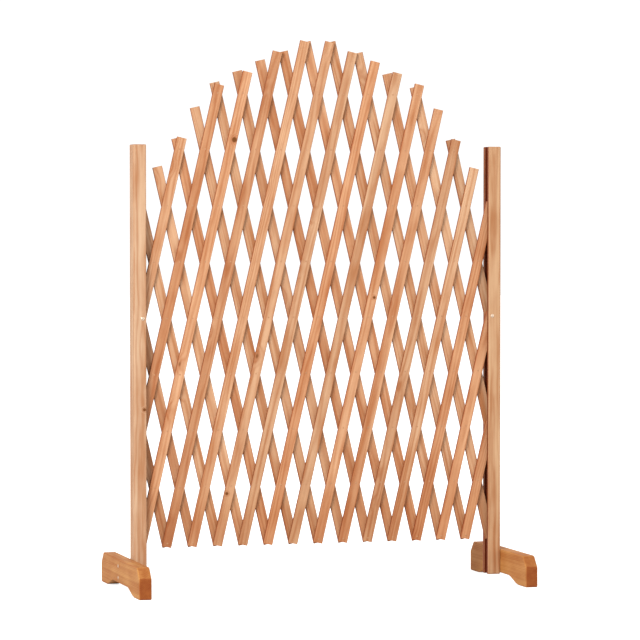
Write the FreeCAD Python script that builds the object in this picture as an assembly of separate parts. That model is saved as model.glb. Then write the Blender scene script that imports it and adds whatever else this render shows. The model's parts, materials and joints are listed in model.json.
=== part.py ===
"""Expanding wooden plant trellis: a scissor lattice of crossing slats between two grooved posts on feet.

Frame: millimetres, +Z up, +X to the right, the front faces -Y, and the origin is on the floor at the
middle of the panel.  The lattice is counted in half cells: column 0 is at the left post's pivots and
the last column at the right post's, and row 0 is the lowest row of pivots.  Along a front slat, which
rises to the right, column - row stays the same; along a back slat, which rises to the left,
column + row does.  Each slat keeps that number as its line.
"""
import FreeCAD, Part
import math
import os

# Lattice
slat_width = 24.0
slat_thickness = 7.0
slat_edge = 0.8
layer_gap = 0.3
pivot_pitch = 141.5
fold_angle = 13.1
mid_row = 4
mid_pivot_height = 664.0
end_margin = 9.0
least_end_margin = 6.0

# Cut lengths of the front slats whose top end is free, from the left post to the right one
free_lengths = [462.0, 879.0, 1195.0, 1247.0, 1274.0, 1273.0, 1248.0,
                1225.0, 1197.0, 1168.0, 1105.0, 1027.0, 955.0]

# Pins at the crossings
pin_across_flats = 2.0
pin_head_across_flats = 4.2
pin_head_height = 0.7
pin_seat_gap = 0.05
pin_turn_gap = 0.1

# Posts
post_width = 32.0
post_depth = 44.0
post_top = 1088.0
post_floor_gap = 14.0
post_web = 7.0
post_edge_radius = 2.5
post_end_edge = 1.5
groove_width = 20.0
groove_lip = 1.2
swing_gap = 0.6

# Feet
foot_length = 425.0
foot_height = 76.0
foot_thickness = 31.0
foot_corner_depth = 24.0
foot_corner_height = 26.0
foot_corner_radius = 6.0
foot_heel_radius = 3.0
foot_pad_length = 70.0
foot_arch_height = 17.0
foot_arch_run = 55.0
foot_arch_radius = 100.0
foot_edge = 2.0

# Screws
pivot_screw_across_flats = 4.6
pivot_screw_head_across_flats = 8.4
pivot_screw_head_height = 2.0
pivot_screw_bite = 8.0
foot_screw_across_flats = 4.0
foot_screw_head_across_flats = 8.0
foot_screw_head_height = 1.8
foot_screw_bite = 20.0
foot_screw_drop = 17.0
foot_screw_spacing = 29.0
screw_seat_gap = 0.05
screw_turn_gap = 0.1

# Flat sides of the fasteners: the pins have square shanks, which can't turn in the front slats
pin_sides = 4
pin_head_sides = 6
bore_sides = 6
screw_sides = 6
screw_head_sides = 12

# How near an edge has to lie to a plane to be picked as lying in it
same_plane = 0.01

# Worked out from the sizes above
lean = math.radians(fold_angle)
half_cell_width = pivot_pitch * math.sin(lean)
half_cell_height = pivot_pitch * math.cos(lean)
held_rows = list(range(mid_row + 2, 0, -2))
columns = 2 * (len(free_lengths) + len(held_rows)) - mid_row
half_span = half_cell_width * columns / 2
pivot_to_groove_floor = math.hypot(slat_width / 2, end_margin) + swing_gap
post_outer_x = half_span + pivot_to_groove_floor + post_web
post_inner_x = post_outer_x - post_width
lattice_face_y = slat_thickness + layer_gap / 2
rear_flange_y = (groove_width / 2 + post_depth / 2) / 2
pivot_screw_length = post_depth / 2 + groove_width / 2 + pivot_screw_bite
foot_screw_heights = [foot_height - foot_screw_drop, foot_height - foot_screw_drop - foot_screw_spacing]

X_AXIS = FreeCAD.Vector(1, 0, 0)
Y_AXIS = FreeCAD.Vector(0, 1, 0)
Z_AXIS = FreeCAD.Vector(0, 0, 1)


def at(x, y, z):
    """A point of the part's frame."""
    return FreeCAD.Vector(x, y, z)


def closed_face(points):
    """The flat face inside a closed line through the points."""
    return Part.Face(Part.makePolygon(points + points[:1]))


def rounded_face(corners, place):
    """A flat face with rounded corners; place(u, v) gives a corner's point in space.

    corners lists (u, v, radius).  Each corner is cut back along both its sides by radius / tan(half its
    inner angle), and the arc that touches both sides bridges the cut.
    """
    cuts = []
    for i, (u, v, radius) in enumerate(corners):
        corner = FreeCAD.Vector(u, v, 0)
        after = corners[(i + 1) % len(corners)]
        to_last = (FreeCAD.Vector(corners[i - 1][0], corners[i - 1][1], 0) - corner).normalize()
        to_next = (FreeCAD.Vector(after[0], after[1], 0) - corner).normalize()
        half_angle = to_last.getAngle(to_next) / 2
        setback = radius / math.tan(half_angle)
        inward = (to_last + to_next).normalize()
        middle = corner + inward * (radius / math.sin(half_angle) - radius)
        cuts.append([corner + to_last * setback, middle, corner + to_next * setback])
    edges = []
    for i, (start, middle, end) in enumerate(cuts):
        following = cuts[(i + 1) % len(cuts)][0]
        arc_points = [place(p.x, p.y) for p in (start, middle, end)]
        if corners[i][2] > 0:
            edges.append(Part.Arc(*arc_points).toShape())
        edges.append(Part.LineSegment(arc_points[2], place(following.x, following.y)).toShape())
    return Part.Face(Part.Wire(edges))


def flat_sided_bar(sides, across_flats, length, origin, axis):
    """A bar along the axis from origin, with equal flat sides."""
    radius = across_flats / 2 / math.cos(math.pi / sides)
    turns = [2 * math.pi * n / sides for n in range(sides)]
    bar = closed_face([at(radius * math.sin(t), radius * math.cos(t), 0) for t in turns])
    bar = bar.extrude(Z_AXIS * length)
    bar.Placement = FreeCAD.Placement(origin, FreeCAD.Rotation(Z_AXIS, axis))
    return bar


def seat_bore(sides, across_flats, length, origin, axis, gap):
    """The hole that a shank sits in without turning."""
    return flat_sided_bar(sides, across_flats + 2 * gap, length, origin, axis)


def running_bore(sides, across_flats, length, origin, axis, gap):
    """The hole in which a shank turns, with the gap left at the shank's corners."""
    corner_to_corner = across_flats / math.cos(math.pi / sides)
    return flat_sided_bar(bore_sides, corner_to_corner + 2 * gap, length, origin, axis)


def screw(across_flats, head_across_flats, head_height, length, origin, axis):
    """A screw whose head sits at origin and whose shank runs along the axis."""
    shank = flat_sided_bar(screw_sides, across_flats, length, origin, axis)
    head_origin = origin - axis * head_height
    head = flat_sided_bar(screw_head_sides, head_across_flats, head_height, head_origin, axis)
    return shank.fuse(head)


class Slat:
    """One slat: how it leans, its line, the row of its first pivot and its cut length."""

    def __init__(self, leans, line, first_row, length):
        self.leans = leans
        self.line = line
        self.first_row = first_row
        self.length = length
        self.face_y = -lattice_face_y if leans > 0 else layer_gap / 2

    def column(self, row):
        """The column where the slat's centre line meets a row."""
        return self.line + self.leans * row

    def run(self, row):
        """Distance along the slat from its first pivot to a row's."""
        return (row - self.first_row) * pivot_pitch

    def reaches(self, row):
        """Whether the slat can be pinned at a row, with enough wood left beyond the pin."""
        return row >= self.first_row and self.run(row) + least_end_margin <= self.length - end_margin

    def on_post_screw(self, row):
        """Whether the slat hangs on a post's screw at a row."""
        return row == mid_row and self.reaches(row) and self.column(row) in (0, columns)

    def rows(self):
        """All rows between the slat's ends."""
        return range(self.first_row, self.first_row + int(self.length / pivot_pitch) + 1)

    def set_in_place(self, shape):
        """Lean a shape that was made upright on the slat's first pivot, and move it to that pivot."""
        shape.rotate(at(0, 0, 0), Y_AXIS, self.leans * fold_angle)
        x = self.column(self.first_row) * half_cell_width - half_span
        z = mid_pivot_height + (self.first_row - mid_row) * half_cell_height
        shape.translate(at(x, 0, z))
        return shape


def front_layer():
    """The front slats, from the left post to the right one."""
    slats = []
    line = -mid_row
    for length in free_lengths:
        slats.append(Slat(1, line, max(0, -line), length))
        line += 2
    for row in held_rows:
        slats.append(Slat(1, line, 0, row * pivot_pitch + 2 * end_margin))
        line += 2
    return slats


def back_layer():
    """The back slats, from left to right: the front layer as a mirror shows it."""
    return [Slat(-1, columns - slat.line, slat.first_row, slat.length) for slat in reversed(front_layer())]


def pinned_rows(slat, others):
    """The rows where a slat is pinned to a slat of the other layer."""
    rows = []
    for row in slat.rows():
        column = slat.column(row)
        is_crossed = any(other.column(row) == column and other.reaches(row) for other in others)
        if is_crossed and slat.reaches(row) and not slat.on_post_screw(row):
            rows.append(row)
    return rows


def slat_solid(slat, others):
    """A planed strip with eased edges, bored for its pins and for a post's screw."""
    half = slat_width / 2
    near = slat.face_y
    far = near + slat_thickness
    outline = [(slat_edge - half, near), (half - slat_edge, near),
               (half, near + slat_edge), (half, far - slat_edge),
               (half - slat_edge, far), (slat_edge - half, far),
               (-half, far - slat_edge), (-half, near + slat_edge)]
    strip = closed_face([at(x, y, -end_margin) for x, y in outline]).extrude(Z_AXIS * slat.length)
    bores = []
    for row in pinned_rows(slat, others):
        origin = at(0, near, slat.run(row))
        if slat.leans > 0:
            bores.append(seat_bore(pin_sides, pin_across_flats, slat_thickness, origin, Y_AXIS, pin_seat_gap))
        else:
            bores.append(running_bore(pin_sides, pin_across_flats, slat_thickness, origin, Y_AXIS,
                                      pin_turn_gap))
    if slat.on_post_screw(mid_row):
        origin = at(0, near, slat.run(mid_row))
        bores.append(running_bore(screw_sides, pivot_screw_across_flats, slat_thickness, origin, Y_AXIS,
                                  screw_turn_gap))
    return slat.set_in_place(strip.cut(bores))


def slat_pins(slat, others):
    """The pins driven through a front slat and the slats behind it, with low heads at the front."""
    pins = []
    for row in pinned_rows(slat, others):
        origin = at(0, -lattice_face_y, slat.run(row))
        shank = flat_sided_bar(pin_sides, pin_across_flats, 2 * lattice_face_y, origin, Y_AXIS)
        head_origin = origin - Y_AXIS * pin_head_height
        head = flat_sided_bar(pin_head_sides, pin_head_across_flats, pin_head_height, head_origin, Y_AXIS)
        pins.append(slat.set_in_place(shank.fuse(head)))
    return Part.Compound(pins)


def pivot_screw_origin(side):
    """Where a post's pivot screw enters the post's front face."""
    return at(side * half_span, -post_depth / 2, mid_pivot_height)


def pivot_screw(side):
    """The screw through both flanges of a post, on which the lattice turns at its mid row."""
    return screw(pivot_screw_across_flats, pivot_screw_head_across_flats, pivot_screw_head_height,
                 pivot_screw_length, pivot_screw_origin(side), Y_AXIS)


def foot_screws(side):
    """The two screws driven from outside through a foot into the rear flange of its post."""
    inward = X_AXIS * -side
    outer_face = side * (post_outer_x + foot_thickness)
    length = foot_thickness + foot_screw_bite
    return Part.Compound([screw(foot_screw_across_flats, foot_screw_head_across_flats, foot_screw_head_height,
                                length, at(outer_face, rear_flange_y, z), inward)
                          for z in foot_screw_heights])


def is_post_rim(edge, side):
    """Whether an edge runs round the outside of a post's top or bottom end."""
    middle = edge.CenterOfMass
    beside_groove = abs(middle.y) < groove_width / 2 + groove_lip + same_plane
    on_outer_face = abs(middle.x - side * post_outer_x) < same_plane
    return edge.BoundBox.ZLength < same_plane and (on_outer_face or not beside_groove)


def post(side):
    """A post with rounded edges and, full height in its inner face, the groove for the slats' ends."""
    groove_floor = post_outer_x - post_web
    half_depth = post_depth / 2
    half_groove = groove_width / 2
    corners = [(post_inner_x, -half_depth, post_edge_radius), (post_outer_x, -half_depth, post_edge_radius),
               (post_outer_x, half_depth, post_edge_radius), (post_inner_x, half_depth, post_edge_radius),
               (post_inner_x, half_groove + groove_lip, 0), (post_inner_x + groove_lip, half_groove, 0),
               (groove_floor, half_groove, 0), (groove_floor, -half_groove, 0),
               (post_inner_x + groove_lip, -half_groove, 0), (post_inner_x, -half_groove - groove_lip, 0)]
    section = rounded_face(corners, lambda x, y: at(side * x, y, post_floor_gap))
    body = section.extrude(Z_AXIS * (post_top - post_floor_gap))
    body = body.makeChamfer(post_end_edge, [edge for edge in body.Edges if is_post_rim(edge, side)])
    bores = [seat_bore(screw_sides, pivot_screw_across_flats, pivot_screw_length + screw_seat_gap,
                       pivot_screw_origin(side), Y_AXIS, screw_seat_gap)]
    for z in foot_screw_heights:
        origin = at(side * post_outer_x, rear_flange_y, z)
        bores.append(seat_bore(screw_sides, foot_screw_across_flats, foot_screw_bite + screw_seat_gap,
                               origin, X_AXIS * -side, screw_seat_gap))
    return body.cut(bores)


def foot(side):
    """A plank on edge, screwed to the outside of a post: sloped ends, two pads and an arch between them."""
    half = foot_length / 2
    pad_end = half - foot_pad_length
    arch_end = pad_end - foot_arch_run
    back_end = [(half, 0, foot_heel_radius), (half, foot_height - foot_corner_height, foot_corner_radius),
                (half - foot_corner_depth, foot_height, foot_corner_radius)]
    front_end = [(-y, z, radius) for y, z, radius in reversed(back_end)]
    arch = [(-pad_end, 0, foot_arch_radius), (-arch_end, foot_arch_height, foot_arch_radius),
            (arch_end, foot_arch_height, foot_arch_radius), (pad_end, 0, foot_arch_radius)]
    face = rounded_face(back_end + front_end + arch, lambda y, z: at(side * post_outer_x, y, z))
    body = face.extrude(X_AXIS * side * foot_thickness)
    body = body.makeChamfer(foot_edge, [edge for edge in body.Edges if edge.BoundBox.XLength < same_plane])
    bores = []
    for z in foot_screw_heights:
        origin = at(side * (post_outer_x + foot_thickness), rear_flange_y, z)
        bores.append(seat_bore(screw_sides, foot_screw_across_flats, foot_thickness, origin,
                               X_AXIS * -side, screw_seat_gap))
    return body.cut(bores)


def write(name, shape):
    """Save one sub-part as a file of its own."""
    shape.exportStep("parts/" + name + ".step")


os.makedirs("parts", exist_ok=True)
front_slats = front_layer()
back_slats = back_layer()
for number, slat in enumerate(front_slats, 1):
    write("front_slat_%02d" % number, slat_solid(slat, back_slats))
    write("front_slat_pins_%02d" % number, slat_pins(slat, back_slats))
for number, slat in enumerate(back_slats, 1):
    write("back_slat_%02d" % number, slat_solid(slat, front_slats))
for name, side in (("left", -1), ("right", 1)):
    write(name + "_post", post(side))
    write(name + "_foot", foot(side))
    write(name + "_foot_screws", foot_screws(side))
    write(name + "_pivot_screw", pivot_screw(side))
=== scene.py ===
import json
import math

import bpy
import numpy as np
from bpy.props import FloatProperty, FloatVectorProperty, IntProperty, PointerProperty
from bpy.types import Operator, Panel, PropertyGroup
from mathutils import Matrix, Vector


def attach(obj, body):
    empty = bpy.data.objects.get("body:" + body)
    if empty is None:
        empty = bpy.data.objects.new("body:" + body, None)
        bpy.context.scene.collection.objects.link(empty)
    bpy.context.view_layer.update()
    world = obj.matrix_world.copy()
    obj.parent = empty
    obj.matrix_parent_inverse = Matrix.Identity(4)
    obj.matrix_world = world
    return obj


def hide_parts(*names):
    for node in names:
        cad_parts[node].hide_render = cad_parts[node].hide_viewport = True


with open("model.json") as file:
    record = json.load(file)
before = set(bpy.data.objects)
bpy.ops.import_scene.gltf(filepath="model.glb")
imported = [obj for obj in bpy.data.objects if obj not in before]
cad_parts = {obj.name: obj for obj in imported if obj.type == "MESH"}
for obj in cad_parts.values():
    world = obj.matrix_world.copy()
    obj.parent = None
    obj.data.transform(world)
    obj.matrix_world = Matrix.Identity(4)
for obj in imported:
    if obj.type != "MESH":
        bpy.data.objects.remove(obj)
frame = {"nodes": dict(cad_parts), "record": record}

bl_info = {
    "name": "Folding Trellis Panel",
    "version": (1, 0, 0),
    "blender": (4, 5, 0),
    "location": "3D View > Sidebar > Trellis",
    "description": "Finishes a folding trellis panel: stained timber, nails, screws and a studio",
    "category": "Object",
}

NODES = frame["nodes"]
BODY_OF_NODE = {
    node: body
    for body, members in frame["record"]["behaviour"]["bodies"].items()
    for node in members
}
UP = Vector((0, 0, 1))
FRONT_TO_BACK = (0.0, 1.0, 0.0)
WHITE = (1.0, 1.0, 1.0, 1.0)

# Growth rings, metres: the pith's spread and least depth, how far they wander, and how narrow latewood is
PITH_SPREAD, PITH_DEPTH = 0.05, 0.018
RING_DRIFT = 0.016
LATE_POWER = 1.8

# Noise in the timber: features per metre across the grain, twice, and along it
DRIFT = (22.0, 22.0, 2.6)
FIBRE = (1100.0, 1100.0, 26.0)
STREAK = (150.0, 150.0, 3.0)
BAND = (62.0, 62.0, 1.6)
CLOUD = (24.0, 24.0, 9.0)

# How much latewood and each noise count in the tone, and the tones that are palest and darkest
LATE_SHARE, FIBRE_SHARE, STREAK_SHARE, BAND_SHARE, CLOUD_SHARE = 0.14, 0.14, 0.42, 0.40, 0.46
PALEST_TONE, DARKEST_TONE = 0.42, 1.06

# Shares that the stain is darker by: the palest wood, and how much the palest and darkest on cuts differ; on
# the sawn sides this darkness is partly painted shade
PALEST_SHARE = -0.06
LATE_ON_ARRIS, EARLY_ON_END, EARLY_ON_RIP = 0.1, 0.18, 0.85

# How squarely a sawn end and a sawn side look along and across the grain: where they begin and are full
END_FACING = (0.55, 0.90)
SIDE_FACING = (0.60, 0.95)

# Painted shade in a groove, metres: its soft edge, where it fades before the outer face, and the painted
# shadow beside its mouth
GROOVE_EDGE = 0.0004
GROOVE_FADE, GROOVE_FULL = 0.005, 0.006
MOUTH_FADE, MOUTH_FULL = 0.011, 0.008
MOUTH_DEPTH, MOUTH_SKIN = 0.001, 0.0002
MOUTH_SHARE = 0.80

# Knots: cells per metre, the share of cells without one, and the reach and heart as shares of a cell
KNOT_CELLS = (17.0, 8.0, 10.0)
FEW_KNOTS, FEWER_KNOTS = 0.66, 0.90
KNOT_REACH = (0.05, 0.34)
KNOT_HEART = (0.045, 0.105)
KNOT_PUSH = 0.0045
KNOT_HALO = 0.45

# Knots at places of their own: the middle on the front face, and the radius
KNOTS = {
    "left_post": ((-0.4452, -0.0220, 0.4423), 0.0040),
    "front_slat_03": ((-0.2148, -0.0072, 1.1010), 0.0066),
    "front_slat_06": ((-0.2345, -0.0072, 0.2317), 0.0038),
    "front_slat_10": ((0.1442, -0.0072, 0.7116), 0.0036),
}

# Seeds and places in the tree for slats, posts and feet
TONE_SEED, GRAIN_SEED = 41, 1000
TREE_STEP = 3.0
FIRST_POST, FIRST_FOOT = 60, 70

# Dulled metal: features per metre of its stains and its scratches
METAL_STAINS = (420.0, 420.0, 420.0)
METAL_SCRATCHES = (2600.0, 600.0, 2600.0)

# Faces round a nail, and the gap in metres between two screws of one node
NAIL_SIDES = 10
SCREW_GAP = 0.006

# Cross recess as shares of the head's radius: half an arm's width, the arms' reach and their soft end
ARM_WIDTH, ARM_REACH, ARM_END = 0.085, 0.62, 0.10

# How far up the slats the painted shade towards their lower ends reaches, and the slats' spread of brightness
LOW_SHADE_TOP, LOW_SHADE_FULL = 0.36, 0.17
DIMMEST_SLAT, SLAT_SPREAD = 0.88, 0.18

# Studio: the floor's half width, and the lights' places and sizes
FLOOR_REACH = 30.0
LIGHTS_AIM = (0.0, 0.0, 0.6)
KEY_PLACE, KEY_SIZE = (-4.2, -3.9, 3.3), (2.2, 2.2)
FILL_PLACE, REAR_PLACE, SOFT_SIZE = (4.0, -3.0, 2.2), (2.6, 4.4, 2.6), (2.4, 2.4)


# Sizes and colours


def shade(name, description, default):
    """A colour that the sidebar shows."""
    return FloatVectorProperty(name=name, description=description, default=default,
                               subtype="COLOR", size=3, min=0.0, max=1.0)


def length(name, description, default):
    """A length in metres that the sidebar shows."""
    return FloatProperty(name=name, description=description, default=default,
                         unit="LENGTH", precision=5)


class TimberFinish(PropertyGroup):
    """Stain and grain of the slats, posts and feet, and the shade painted on them."""

    honey: shade("Honey", "Earlywood of the yellowest slats", (0.598, 0.360, 0.205))
    russet: shade("Russet", "Earlywood of the reddest slats", (0.552, 0.270, 0.130))
    left_post: shade("Left post", "Earlywood of the left post", (0.552, 0.352, 0.212))
    right_post: shade("Right post", "Earlywood of the right post", (0.525, 0.305, 0.160))
    foot: shade("Foot", "Earlywood of the feet", (0.500, 0.228, 0.063))
    latewood: FloatProperty(name="Latewood",
                            description="How dark the latewood streaks are beside the earlywood",
                            default=0.36, min=0.0, max=1.0)
    end_grain: FloatProperty(name="End grain", description="How dark a sawn end is beside a planed face",
                             default=0.57, min=0.0, max=1.0)
    knot: shade("Knot", "Heart of a knot", (0.150, 0.045, 0.006))
    ring_gap: length("Ring gap", "Distance from one growth ring to the next", 0.0034)
    roughness: FloatProperty(name="Roughness", description="Roughness of the stained faces",
                             default=0.55, min=0.0, max=1.0)
    relief: length("Relief", "How far the latewood stands above the earlywood", 0.00025)
    arris: length("Arris", "How far in from an edge the stain lies darker", 0.0020)
    arris_depth: FloatProperty(name="Arris depth", description="How dark the stain lies along the edges",
                               default=0.18, min=0.0, max=1.0)
    groove: length("Groove", "Half the width of a post's groove", 0.0100)
    # Painted shade: how dark the groove's walls and floor, and the flanges beside its mouth, are painted
    groove_shade: FloatProperty(name="Groove depth", description="How dark the stain lies inside the groove",
                                default=0.78, min=0.0, max=1.0)
    # How dark the sawn narrow sides are: partly the stain on sawn wood, partly painted shade of the gaps
    # where the slats cross
    rip: FloatProperty(name="Sawn side", description="How dark a slat's sawn narrow side is beside its face",
                       default=0.62, min=0.0, max=1.0)
    # Painted shade: how dark the slats are painted towards their lower ends
    low_end_shade: FloatProperty(name="Low_end_shade", description="How dark the slats' lowest ends are",
                        default=0.11, min=0.0, max=1.0)


class Fastenings(PropertyGroup):
    """Nails and screws."""

    nail_head: length("Nail head", "Width of a nail's head", 0.0042)
    nail_dome: length("Nail dome", "Height of a nail's head", 0.0007)
    nail_shank: length("Nail shank", "Width of a nail's shank", 0.0020)
    nail_colour: shade("Nail", "Stain over the nails' heads", (0.480, 0.240, 0.115))
    screw_colour: shade("Screw", "Pale zinc of the screws", (0.830, 0.670, 0.520))
    recess: FloatProperty(name="Recess", description="Depth of a screw's cross recess as a share of its head",
                          default=0.4, min=0.0, max=1.0)
    turns: IntProperty(name="Screw sides", description="Faces round a screw's head", default=48,
                       min=12, max=96)


class Studio(PropertyGroup):
    """Floor, light and camera."""

    floor: shade("Floor", "Colour of the floor", (0.62, 0.62, 0.62))
    glow: FloatProperty(name="Glow", description="Light that the backdrop adds to what is seen of the floor",
                        default=0.75, min=0.0)
    surround: FloatProperty(name="Surround", description="Brightness of the white backdrop as it is seen",
                            default=1.1, min=0.0)
    ambient: FloatProperty(name="Ambient", description="Light that the white backdrop gives",
                           default=0.87, min=0.0)
    key: FloatProperty(name="Key", description="Power of the large light in front",
                       default=368.0, min=0.0, unit="POWER")
    fill: FloatProperty(name="Fill", description="Power of the light on the other side",
                        default=40.0, min=0.0, unit="POWER")
    rear: FloatProperty(name="Rear", description="Power of the light behind the panel",
                        default=110.0, min=0.0, unit="POWER")
    lens: FloatProperty(name="Lens", description="Focal length in millimetres", default=180.47, min=10.0)
    eye: FloatVectorProperty(name="Eye", description="Where the camera stands", subtype="XYZ", unit="LENGTH",
                             size=3, default=(-2.1915, -7.6360, 0.8970))
    turn: FloatProperty(name="Turn", description="Compass turn of the camera", subtype="ANGLE",
                        default=math.radians(-16.053))
    dip: FloatProperty(name="Dip", description="How far the camera looks down", subtype="ANGLE",
                       default=math.radians(1.733))


# Node graphs


class Graph:
    """A material whose nodes are added and joined one call at a time."""

    def __init__(self, name):
        self.material = bpy.data.materials.new(name)
        self.material.use_nodes = True
        self.tree = self.material.node_tree
        self.surface = self.tree.nodes["Principled BSDF"]

    def feed(self, socket, value):
        """Join an output to a socket, or set the socket's own value."""
        if isinstance(value, bpy.types.NodeSocket):
            self.tree.links.new(value, socket)
        else:
            socket.default_value = value

    def add(self, kind, inputs, **settings):
        """A node with its settings, and its inputs by name or number."""
        node = self.tree.nodes.new("ShaderNode" + kind)
        for key, value in settings.items():
            setattr(node, key, value)
        for key, value in inputs.items():
            self.feed(node.inputs[key], value)
        return node

    def maths(self, operation, *values):
        """One step of arithmetic."""
        return self.add("Math", dict(enumerate(values)), operation=operation).outputs[0]

    def scaled(self, point, scale):
        """A point stretched along its three axes."""
        return self.add("Mapping", {"Vector": point, "Scale": scale}).outputs[0]

    def noise(self, point, scale, detail=2.0, roughness=0.5):
        """Smooth noise from 0 to 1 with features of 1 / scale along each axis."""
        node = self.add("TexNoise", {"Vector": self.scaled(point, scale), "Scale": 1.0, "Detail": detail,
                                     "Roughness": roughness})
        return node.outputs["Fac"]

    def ease(self, value, low, high, start=0.0, end=1.0):
        """A smooth step from start at low to end at high, or back where low is the larger."""
        if low > high:
            low, high, start, end = high, low, end, start
        node = self.add("MapRange", {"Value": value, "From Min": low, "From Max": high, "To Min": start,
                                     "To Max": end}, interpolation_type="SMOOTHSTEP")
        return node.outputs["Result"]

    def blend(self, factor, a, b, mode="MIX"):
        """Colour a turning into colour b."""
        node = self.add("Mix", {0: factor}, data_type="RGBA", blend_type=mode)
        self.feed(node.inputs[6], a)
        self.feed(node.inputs[7], b)
        return node.outputs[2]


def darker(colour, share, warmth=1.0):
    """A deeper stain of a colour, also used for painted shade: blue and green fall off faster than red, as
    they do in timber.
    """
    powers = (1.0, 1.0 + warmth, 1.0 + 2 * warmth)
    return tuple(c * (1 - share) ** p for c, p in zip(colour, powers)) + (1.0,)


def timber(name, node, stain, brightness, number, knots=FEW_KNOTS, rip=0.0, groove=0.0, low_end_shade=0.0):
    """Stained softwood for one piece, with its grain along the piece's longest direction.

    The piece is turned so that its grain is +Z, and moved to a place of its own in the tree.  Growth rings
    are sin(2 pi r / gap), where r is the distance from the pith plus slow noise that is drawn out along
    the grain, so a face shows long streaks and a sawn end shows arcs.  Fine noise drawn out twenty times
    more gives the fibres, and wide slow noise the bands of sapwood and heartwood.  Knots are the cells of a
    point pattern whose chance value is above knots, with those of KNOTS, and r is pushed aside round them.
    Edges are where both distances from the grain's middle line are near the largest.  The stain lies
    darker along the edges.  By the share rip the two narrow sides, which are left as sawn, are darker, partly
    as the stain on sawn wood and partly as painted shade of the gaps where the slats cross.  The share groove
    is painted shade inside a post's groove and a painted shadow beside its mouth, and the share damp is
    painted shade that darkens the slats towards the ground.
    """
    finish = bpy.context.scene.trellis_timber
    centre, grain = lie_of(node)
    chance = np.random.RandomState(GRAIN_SEED + number).uniform(0.0, 1.0, 2)
    turn = grain.rotation_difference(UP)
    half = np.abs((points_of(node) - centre) @ np.array(turn.to_matrix()).T).max(0)
    start = Vector((0.0, 0.0, TREE_STEP * number))
    g = Graph(name)
    place = g.add("TexCoord", {})
    point = g.add("Mapping", {"Vector": place.outputs["Object"], "Rotation": turn.to_euler(),
                              "Location": start - turn @ centre}).outputs[0]
    across = g.add("SeparateXYZ", {0: point})

    cells = g.add("TexVoronoi", {"Vector": g.scaled(point, KNOT_CELLS), "Scale": 1.0, "Randomness": 0.9})
    draw = g.add("SeparateColor", {0: cells.outputs["Color"]}).outputs[0]
    let_through = g.maths("GREATER_THAN", draw, knots)
    near_knot = g.maths("MULTIPLY", g.ease(cells.outputs["Distance"], *KNOT_REACH, 1.0, 0.0), let_through)
    heart = g.maths("MULTIPLY", g.ease(cells.outputs["Distance"], *KNOT_HEART, 1.0, 0.0), let_through)
    if node in KNOTS:
        spot, radius = KNOTS[node]
        away = g.add("VectorMath", {0: place.outputs["Object"], 1: spot}, operation="DISTANCE")
        away = away.outputs["Value"]
        near_knot = g.maths("MAXIMUM", near_knot, g.ease(away, radius, radius * 2.6, 1.0, 0.0))
        heart = g.maths("MAXIMUM", heart, g.ease(away, radius * 0.7, radius * 1.2, 1.0, 0.0))

    pith_x = (chance[0] - 0.5) * PITH_SPREAD
    pith_y = PITH_DEPTH + PITH_SPREAD * chance[1]
    x = g.maths("SUBTRACT", across.outputs[0], pith_x)
    y = g.maths("SUBTRACT", across.outputs[1], pith_y)
    reach = g.maths("SQRT", g.maths("ADD", g.maths("MULTIPLY", x, x), g.maths("MULTIPLY", y, y)))
    drift = g.maths("MULTIPLY_ADD", g.noise(point, DRIFT, 3.0), RING_DRIFT, reach)
    pushed = g.maths("MULTIPLY_ADD", near_knot, KNOT_PUSH, drift)
    phase = g.maths("MULTIPLY", pushed, 2 * math.pi / finish.ring_gap)
    ring = g.maths("MULTIPLY_ADD", g.maths("SINE", phase), 0.5, 0.5)
    late = g.maths("POWER", ring, LATE_POWER)

    fibre = g.noise(point, FIBRE, 3.0, 0.6)
    tone = g.maths("MULTIPLY_ADD", late, LATE_SHARE, g.maths("MULTIPLY", fibre, FIBRE_SHARE))
    tone = g.maths("MULTIPLY_ADD", g.noise(point, STREAK, 3.0, 0.55), STREAK_SHARE, tone)
    tone = g.maths("MULTIPLY_ADD", g.noise(point, BAND, 1.0), BAND_SHARE, tone)
    tone = g.maths("MULTIPLY_ADD", g.noise(point, CLOUD, 2.0), CLOUD_SHARE, tone)
    depth = g.ease(tone, PALEST_TONE, DARKEST_TONE)

    pale = tuple(min(1.0, c * brightness) for c in stain)
    face = g.blend(depth, darker(pale, PALEST_SHARE), darker(pale, finish.latewood))
    near_x, near_y = (g.ease(g.maths("ABSOLUTE", across.outputs[axis]), half[axis] - finish.arris, half[axis])
                      for axis in (0, 1))
    edge = g.blend(depth, darker(pale, finish.arris_depth), darker(pale, finish.latewood + LATE_ON_ARRIS))
    face = g.blend(g.maths("MULTIPLY", near_x, near_y), face, edge)
    facing = g.add("VectorMath", {0: place.outputs["Normal"], 1: tuple(grain)}, operation="DOT_PRODUCT")
    sawn = g.ease(g.maths("ABSOLUTE", facing.outputs["Value"]), *END_FACING)
    end = g.blend(depth, darker(pale, finish.end_grain - EARLY_ON_END), darker(pale, finish.end_grain))
    face = g.blend(sawn, face, end)
    # The sawn narrow sides darker: partly the stain on sawn wood, partly painted shade of the narrow gaps
    # where the slats cross
    if rip:
        broad = Vector(FRONT_TO_BACK).cross(grain)
        sideways = g.add("VectorMath", {0: place.outputs["Normal"], 1: tuple(broad)}, operation="DOT_PRODUCT")
        ripped = g.ease(g.maths("ABSOLUTE", sideways.outputs["Value"]), *SIDE_FACING)
        face = g.blend(ripped, face, g.blend(depth, darker(pale, rip * EARLY_ON_RIP), darker(pale, rip)))
    # Painted shade: the slats darker towards their lower ends, where less light falls
    if low_end_shade:
        height = g.add("SeparateXYZ", {0: place.outputs["Object"]}).outputs[2]
        face = g.blend(g.ease(height, LOW_SHADE_TOP, LOW_SHADE_FULL), face, darker(WHITE[:3], low_end_shade), "MULTIPLY")
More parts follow.
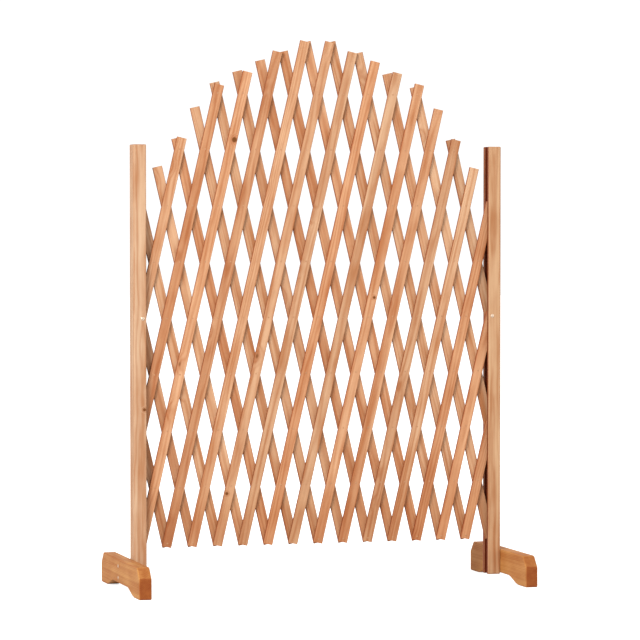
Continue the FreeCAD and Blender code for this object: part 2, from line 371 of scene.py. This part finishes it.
    # Painted shade inside a post's groove, standing in for the shade that falls in it
    if groove:
        outward = math.copysign(1.0, centre.x)
        out = g.maths("MULTIPLY", across.outputs[0], outward)
        aside = g.maths("ABSOLUTE", across.outputs[1])
        within = g.ease(aside, finish.groove + GROOVE_EDGE, finish.groove)
        behind = g.ease(out, half[0] - GROOVE_FADE, half[0] - GROOVE_FULL)
        face = g.blend(g.maths("MULTIPLY", within, behind), face, darker(pale, groove))
        # Painted shadow on the flanges' inner faces beside the groove's mouth
        beside = g.ease(aside, finish.groove + MOUTH_FADE, finish.groove + MOUTH_FULL)
        mouth = g.ease(out, MOUTH_DEPTH - half[0], MOUTH_SKIN - half[0])
        face = g.blend(g.maths("MULTIPLY", beside, mouth), face, darker(pale, groove * MOUTH_SHARE))
    halo = g.blend(g.maths("MULTIPLY", near_knot, KNOT_HALO), face, darker(pale, KNOT_HALO))
    colour = g.blend(heart, halo, tuple(finish.knot) + (1.0,))

    g.feed(g.surface.inputs["Base Color"], colour)
    g.feed(g.surface.inputs["Roughness"],
           g.maths("MULTIPLY_ADD", tone, 0.16, finish.roughness - 0.08))
    relief = g.maths("MULTIPLY_ADD", fibre, 0.6, g.maths("MULTIPLY", late, 0.5))
    bump = g.add("Bump", {"Height": relief, "Distance": finish.relief, "Strength": 0.5})
    g.feed(g.surface.inputs["Normal"], bump.outputs[0])
    g.surface.inputs["IOR"].default_value = 1.45
    g.surface.inputs["Specular IOR Level"].default_value = 0.25
    return g.material


def metal(name, colour, roughness, bare=1.0):
    """Dulled metal, bare or under a stain: fine scratches and slow stains change its roughness and colour."""
    g = Graph(name)
    point = g.add("TexCoord", {}).outputs["Object"]
    stains = g.noise(point, METAL_STAINS, 3.0)
    scratches = g.noise(point, METAL_SCRATCHES, 2.0)
    worn = darker(colour, 0.35, 0.1)
    g.feed(g.surface.inputs["Base Color"], g.blend(g.ease(stains, 0.4, 0.75), tuple(colour) + (1.0,), worn))
    g.feed(g.surface.inputs["Roughness"], g.maths("MULTIPLY_ADD", scratches, 0.25, roughness - 0.12))
    bump = g.add("Bump", {"Height": scratches, "Distance": 0.00004, "Strength": 0.4})
    g.feed(g.surface.inputs["Normal"], bump.outputs[0])
    g.surface.inputs["Metallic"].default_value = bare
    return g.material


def backdrop_paper(name, colour, roughness, glow):
    """Flat pale paper for the floor, lit a little more where it is seen than where it lights the panel."""
    g = Graph(name)
    g.surface.inputs["Base Color"].default_value = tuple(colour) + (1.0,)
    g.surface.inputs["Roughness"].default_value = roughness
    g.surface.inputs["Emission Color"].default_value = WHITE
    seen = g.add("LightPath", {}).outputs["Is Camera Ray"]
    g.feed(g.surface.inputs["Emission Strength"], g.maths("MULTIPLY", seen, glow))
    return g.material


# Places read from the frame


def points_of(node):
    """The corners of a node's mesh, one row each."""
    mesh = NODES[node].data
    corners = np.empty(len(mesh.vertices) * 3, np.float32)
    mesh.vertices.foreach_get("co", corners)
    return corners.reshape(-1, 3).astype(float)


def lie_of(node):
    """The middle of a node's box, and the direction in which the node is longest.

    The direction is the first singular vector of the corners, made square where it nearly is.
    """
    corners = points_of(node)
    middle = (corners.min(0) + corners.max(0)) / 2
    spread = np.linalg.svd(corners - corners.mean(0), full_matrices=False)[2][0]
    spread = spread * np.sign(spread[np.abs(spread).argmax()])
    if spread.max() > 0.999:
        spread = np.round(spread)
    return Vector(middle), Vector(spread)


def groups_along(corners, way, gap=0.02):
    """Corners split wherever they leave a gap along a direction."""
    run = corners @ way
    order = np.argsort(run)
    breaks = np.nonzero(np.diff(run[order]) > gap)[0] + 1
    return [corners[part] for part in np.split(order, breaks)]


def dress(node, material):
    """Give a node of the frame its finish."""
    slots = NODES[node].data.materials
    slots.clear()
    slots.append(material)


# Turned surfaces


def turned(profile, sides, origin, axis, ripple=None):
    """A closed surface of revolution about an axis, as corners and faces.

    The profile is a list of (radius, height) whose first and last points lie on the axis.  Between
    them the corner at ring i and angle t is origin + radius (cos t, sin t) + (height + ripple) axis, on
    a grid of rings by angles, and each end closes on a single corner.  ripple(radius, height, t) is a
    height that is added to the profile's own.
    """
    axis = np.array(axis, float)
    side = np.cross(axis, (0.0, 0.0, 1.0) if abs(axis[2]) < 0.5 else (1.0, 0.0, 0.0))
    side /= np.linalg.norm(side)
    over = np.cross(axis, side)
    radius, height = np.array(profile[1:-1]).T[:, :, None]
    t = np.linspace(0.0, 2 * math.pi, sides, endpoint=False)[None, :]
    first = profile[0][1]
    lift = height + 0.0 * t
    if ripple is not None:
        lift = height + ripple(radius, height, t)
        first += float(ripple(np.zeros((1, 1)), np.full((1, 1), first), t[:, :1])[0, 0])
    grid = (radius * np.cos(t))[..., None] * side + (radius * np.sin(t))[..., None] * over
    grid = grid + lift[..., None] * axis
    ends = np.array([first * axis, profile[-1][1] * axis])
    corners = np.concatenate([ends[:1], grid.reshape(-1, 3), ends[1:]]) + np.array(origin, float)
    rings = len(profile) - 2
    index = 1 + np.arange(rings * sides).reshape(rings, sides)
    ahead = np.roll(index, -1, axis=1)
    quads = np.stack([index[:-1], ahead[:-1], ahead[1:], index[1:]], -1).reshape(-1, 4)
    cap = np.stack([np.zeros(sides, int), ahead[0], index[0]], -1)
    tail = np.stack([np.full(sides, len(corners) - 1), index[-1], ahead[-1]], -1)
    return corners, quads, np.concatenate([cap, tail])


def solid(name, parts, material, body, crease=40.0):
    """One piece from several closed surfaces, riding on a body."""
    corners, loops, sizes = [], [], []
    shift = 0
    for points, quads, fans in parts:
        corners.append(points)
        loops += [quads.ravel() + shift, fans.ravel() + shift]
        sizes += [np.full(len(quads), 4), np.full(len(fans), 3)]
        shift += len(points)
    corners, loops, sizes = np.concatenate(corners), np.concatenate(loops), np.concatenate(sizes)
    mesh = bpy.data.meshes.new(name)
    mesh.vertices.add(len(corners))
    mesh.vertices.foreach_set("co", corners.ravel())
    mesh.loops.add(len(loops))
    mesh.loops.foreach_set("vertex_index", loops)
    mesh.polygons.add(len(sizes))
    mesh.polygons.foreach_set("loop_start", np.concatenate([[0], np.cumsum(sizes)[:-1]]))
    mesh.polygons.foreach_set("loop_total", sizes)
    mesh.update(calc_edges=True)
    mesh.validate()
    mesh.polygons.foreach_set("use_smooth", np.ones(len(mesh.polygons), bool))
    mesh.set_sharp_from_angle(angle=math.radians(crease))
    mesh.materials.append(material)
    piece = bpy.data.objects.new(name, mesh)
    bpy.context.scene.collection.objects.link(piece)
    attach(piece, body)
    return piece


def nail_profile(sizes, front, back):
    """Half a round-headed nail: a low dome, its rim, the shank and a blunt end."""
    head, dome, shank = sizes.nail_head / 2, sizes.nail_dome, sizes.nail_shank / 2
    return [(0.0, 0.0), (head * 0.62, dome * 0.22), (head, dome * 0.75), (head * 0.97, dome),
            (shank, dome), (shank, dome + back - front), (0.0, dome + back - front)]


def cross_recess(head_radius, head_height, depth):
    """Height taken from a screw's face by its cross: a plus sign that narrows to the bottom.

    The sink is a soft step of the distance from the nearer arm's middle line, times a soft step of the
    radius, so that the arms end inside the rim.
    """
    def sink(radius, height, t):
        arm = np.abs(np.sin(2 * t)) * radius / 2 / np.maximum(0.35, np.abs(np.cos(2 * t)) + 0.4)
        wall = np.clip(1.3 - arm / (ARM_WIDTH * head_radius), 0.0, 1.0)
        ends = np.clip((ARM_REACH * head_radius - radius) / (ARM_END * head_radius), 0.0, 1.0)
        face = (height < head_height * 0.85).astype(float)
        return head_height * depth * wall * ends * face
    return sink


def screw_parts(node, axis):
    """A pan-headed screw with a cross recess in the place of a node's plain one.

    The head's face is a dome, height x (1 - radius squared), on rings that lie closer at the cross.
    """
    sizes = bpy.context.scene.trellis_fastenings
    axis = np.array(axis, float)
    built = []
    for corners in groups_along(points_of(node), np.array(UP), SCREW_GAP):
        run = corners @ axis
        low, high = run.min(), run.max()
        middle = (corners.min(0) + corners.max(0)) / 2
        flat = corners - np.outer(run, axis)
        span = np.linalg.norm(flat - (middle - axis * (middle @ axis)), axis=1)
        head_radius = span.max()
        shank_radius = span[run > high - 1e-5].max()
        steps = np.unique(np.round(run - low, 6))
        head_height = steps[1]
        origin = middle - axis * (middle @ axis) + axis * low
        rings = np.concatenate([np.linspace(0.05, 0.70, 14), [0.80, 0.90, 0.97]])
        dome = [(ring * head_radius, head_height * 0.55 * ring ** 2) for ring in rings]
        profile = [(0.0, 0.0)] + dome + [(head_radius, head_height * 0.78), (head_radius * 0.99, head_height),
                                         (shank_radius * 0.92, head_height),
                                         (shank_radius * 0.92, high - low - 0.004), (0.0, high - low)]
        recess = cross_recess(head_radius, head_height, sizes.recess)
        built.append(turned(profile, sizes.turns, origin, axis, recess))
    return built


# Operators


class TRELLIS_OT_finish_slats(Operator):
    """Stain the slats, each with a tone and a length of timber of its own, with painted shade on their sawn
    sides and towards their lower ends
    """

    bl_idname = "trellis.finish_slats"
    bl_label = "Finish Slats"

    def execute(self, context):
        finish = context.scene.trellis_timber
        names = sorted(name for name in NODES if "slat_" in name and "pins" not in name)
        tones = np.random.RandomState(TONE_SEED).uniform(0.0, 1.0, (len(names), 2))
        for number, (name, (redness, light)) in enumerate(zip(names, tones)):
            stain = [a + (b - a) * redness for a, b in zip(finish.honey, finish.russet)]
            brightness = DIMMEST_SLAT + SLAT_SPREAD * light
            dress(name, timber("stained_" + name, name, stain, brightness, number, rip=finish.rip,
                               low_end_shade=finish.low_end_shade))
        return {"FINISHED"}


class TRELLIS_OT_finish_posts(Operator):
    """Stain the two grooved posts, with painted shade inside their grooves and beside their mouths"""

    bl_idname = "trellis.finish_posts"
    bl_label = "Finish Posts"

    def execute(self, context):
        finish = context.scene.trellis_timber
        for number, (name, stain) in enumerate((("left_post", finish.left_post),
                                                ("right_post", finish.right_post)), FIRST_POST):
            dress(name, timber("stained_" + name, name, stain, 1.0, number, FEWER_KNOTS,
                               groove=finish.groove_shade))
        return {"FINISHED"}


class TRELLIS_OT_finish_feet(Operator):
    """Stain the two feet, whose sawn ends are darker"""

    bl_idname = "trellis.finish_feet"
    bl_label = "Finish Feet"

    def execute(self, context):
        finish = context.scene.trellis_timber
        for number, name in enumerate(("left_foot", "right_foot"), FIRST_FOOT):
            dress(name, timber("stained_" + name, name, finish.foot, 1.0, number, FEWER_KNOTS))
        return {"FINISHED"}


class TRELLIS_OT_make_nails(Operator):
    """Put a round-headed nail through every crossing of the slats"""

    bl_idname = "trellis.make_nails"
    bl_label = "Make Nails"

    def execute(self, context):
        sizes = context.scene.trellis_fastenings
        finish = metal("stained_nail", sizes.nail_colour, 0.55, 0.15)
        for node in sorted(name for name in NODES if "pins" in name):
            corners = points_of(node)
            front, back = corners[:, 1].min(), corners[:, 1].max()
            profile = nail_profile(sizes, front + sizes.nail_dome, back)
            parts = []
            for pin in groups_along(corners, np.array(UP)):
                middle = (pin.min(0) + pin.max(0)) / 2
                parts.append(turned(profile, NAIL_SIDES, (middle[0], front, middle[2]), FRONT_TO_BACK))
            name = node.replace("pins", "nails")
            piece = solid(name, parts, finish, BODY_OF_NODE[node])
            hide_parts(node)
        return {"FINISHED"}


class TRELLIS_OT_make_pivot_screws(Operator):
    """Make the screws on which the lattice turns in the posts"""

    bl_idname = "trellis.make_pivot_screws"
    bl_label = "Make Pivot Screws"

    def execute(self, context):
        finish = metal("zinc_pivot_screw", context.scene.trellis_fastenings.screw_colour, 0.38)
        for side in ("left", "right"):
            node = side + "_pivot_screw"
            piece = solid(side + "_pivot_pan_screw", screw_parts(node, FRONT_TO_BACK), finish,
                          BODY_OF_NODE[node])
            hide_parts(node)
        return {"FINISHED"}


class TRELLIS_OT_make_foot_screws(Operator):
    """Make the screws that hold the feet to the posts"""

    bl_idname = "trellis.make_foot_screws"
    bl_label = "Make Foot Screws"

    def execute(self, context):
        finish = metal("zinc_foot_screw", context.scene.trellis_fastenings.screw_colour, 0.38)
        for side, way in (("left", 1.0), ("right", -1.0)):
            node = side + "_foot_screws"
            piece = solid(side + "_foot_pan_screws", screw_parts(node, (way, 0.0, 0.0)), finish,
                          BODY_OF_NODE[node])
            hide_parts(node)
        return {"FINISHED"}


def area_light(name, power, size, place):
    """A soft rectangular light that faces the panel."""
    data = bpy.data.lights.new(name, "AREA")
    data.shape = "RECTANGLE"
    data.size, data.size_y = size
    data.energy = power
    light = bpy.data.objects.new(name, data)
    light.location = place
    light.rotation_euler = (Vector(LIGHTS_AIM) - Vector(place)).to_track_quat("-Z", "Y").to_euler()
    bpy.context.scene.collection.objects.link(light)
    return light


class TRELLIS_OT_set_stage(Operator):
    """Lay a pale floor, light it softly and stand the camera in front"""

    bl_idname = "trellis.set_stage"
    bl_label = "Set Stage"

    def execute(self, context):
        studio = context.scene.trellis_studio
        mesh = bpy.data.meshes.new("floor")
        corners = [(x * FLOOR_REACH, y * FLOOR_REACH, 0) for x, y in ((-1, -1), (1, -1), (1, 1), (-1, 1))]
        mesh.from_pydata(corners, [], [(0, 1, 2, 3)])
        mesh.materials.append(backdrop_paper("pale_floor", studio.floor, 0.9, studio.glow))
        floor = bpy.data.objects.new("floor", mesh)
        context.scene.collection.objects.link(floor)

        world = bpy.data.worlds.new("white_surround")
        world.use_nodes = True
        backdrop = world.node_tree.nodes["Background"]
        backdrop.inputs["Color"].default_value = WHITE
        path = world.node_tree.nodes.new("ShaderNodeLightPath")
        level = world.node_tree.nodes.new("ShaderNodeMapRange")
        level.inputs["To Min"].default_value = studio.ambient
        level.inputs["To Max"].default_value = studio.surround
        world.node_tree.links.new(path.outputs["Is Camera Ray"], level.inputs["Value"])
        world.node_tree.links.new(level.outputs["Result"], backdrop.inputs["Strength"])
        context.scene.world = world
        area_light("key_light", studio.key, KEY_SIZE, KEY_PLACE)
        area_light("fill_light", studio.fill, SOFT_SIZE, FILL_PLACE)
        rear = area_light("rear_light", studio.rear, SOFT_SIZE, REAR_PLACE)
        rear.visible_glossy = False

        data = bpy.data.cameras.new("camera")
        data.lens = studio.lens
        data.sensor_width = 36.0
        data.clip_end = 100.0
        camera = bpy.data.objects.new("camera", data)
        camera.location = studio.eye
        camera.rotation_euler = (math.pi / 2 - studio.dip, 0.0, studio.turn)
        context.scene.collection.objects.link(camera)
        context.scene.camera = camera
        context.scene.view_settings.view_transform = "Standard"
        return {"FINISHED"}


class TRELLIS_PT_build(Panel):
    """Buttons in the order in which the panel is finished, and the sizes and colours they use"""

    bl_idname = "TRELLIS_PT_build"
    bl_label = "Trellis Panel"
    bl_space_type = "VIEW_3D"
    bl_region_type = "UI"
    bl_category = "Trellis"

    def draw(self, context):
        for step in STEPS:
            self.layout.operator(step.bl_idname)
        for group in (context.scene.trellis_timber, context.scene.trellis_fastenings,
                      context.scene.trellis_studio):
            for key in group.__annotations__:
                self.layout.prop(group, key)


STEPS = (TRELLIS_OT_finish_slats, TRELLIS_OT_finish_posts, TRELLIS_OT_finish_feet, TRELLIS_OT_make_nails,
         TRELLIS_OT_make_pivot_screws, TRELLIS_OT_make_foot_screws, TRELLIS_OT_set_stage)
GROUPS = (TimberFinish, Fastenings, Studio)


def register():
    """Make the classes known and hang their settings on the scene."""
    for kind in GROUPS + STEPS + (TRELLIS_PT_build,):
        bpy.utils.register_class(kind)
    bpy.types.Scene.trellis_timber = PointerProperty(type=TimberFinish)
    bpy.types.Scene.trellis_fastenings = PointerProperty(type=Fastenings)
    bpy.types.Scene.trellis_studio = PointerProperty(type=Studio)


def unregister():
    """Take the settings and the classes away again."""
    del bpy.types.Scene.trellis_timber
    del bpy.types.Scene.trellis_fastenings
    del bpy.types.Scene.trellis_studio
    for kind in reversed(GROUPS + STEPS + (TRELLIS_PT_build,)):
        bpy.utils.unregister_class(kind)


def main():
    """Build the look in order."""
    register()
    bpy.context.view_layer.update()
    bpy.ops.trellis.finish_slats()
    bpy.ops.trellis.finish_posts()
    bpy.ops.trellis.finish_feet()
    bpy.ops.trellis.make_nails()
    bpy.ops.trellis.make_pivot_screws()
    bpy.ops.trellis.make_foot_screws()
    bpy.ops.trellis.set_stage()


if __name__ == "__main__":
    main()
